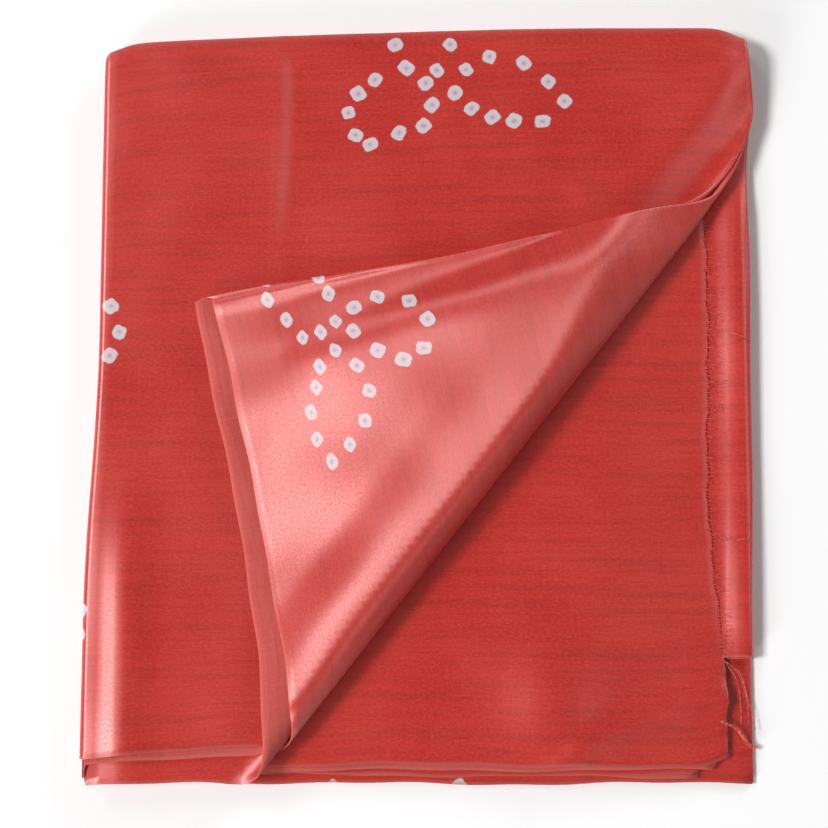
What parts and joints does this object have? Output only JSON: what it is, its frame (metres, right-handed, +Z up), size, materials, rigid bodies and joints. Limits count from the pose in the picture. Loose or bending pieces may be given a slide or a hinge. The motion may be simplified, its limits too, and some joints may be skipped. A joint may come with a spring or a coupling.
{
  "type": "folded bandhani cloth",
  "caption": "Length of red tie-dyed silk satin folded into a flat packet, doubled at one edge, with one corner of its upper layers rolled back diagonally.",
  "frame": {"origin": "centre of the packet's bounding box, on the surface it rests on", "axes": "+X across the packet towards its open side with the raw cut end, +Y towards the doubled edge, +Z up"},
  "size_m": [0.2526, 0.2884, 0.0274],
  "materials": {
    "bandhani_satin": "glossy silk satin, brick red with pale resist dots, matt on the wrong side"
  },
  "bodies": {
    "root": {"bandhani_cloth": "bandhani_satin"}
  },
  "joints": []
}
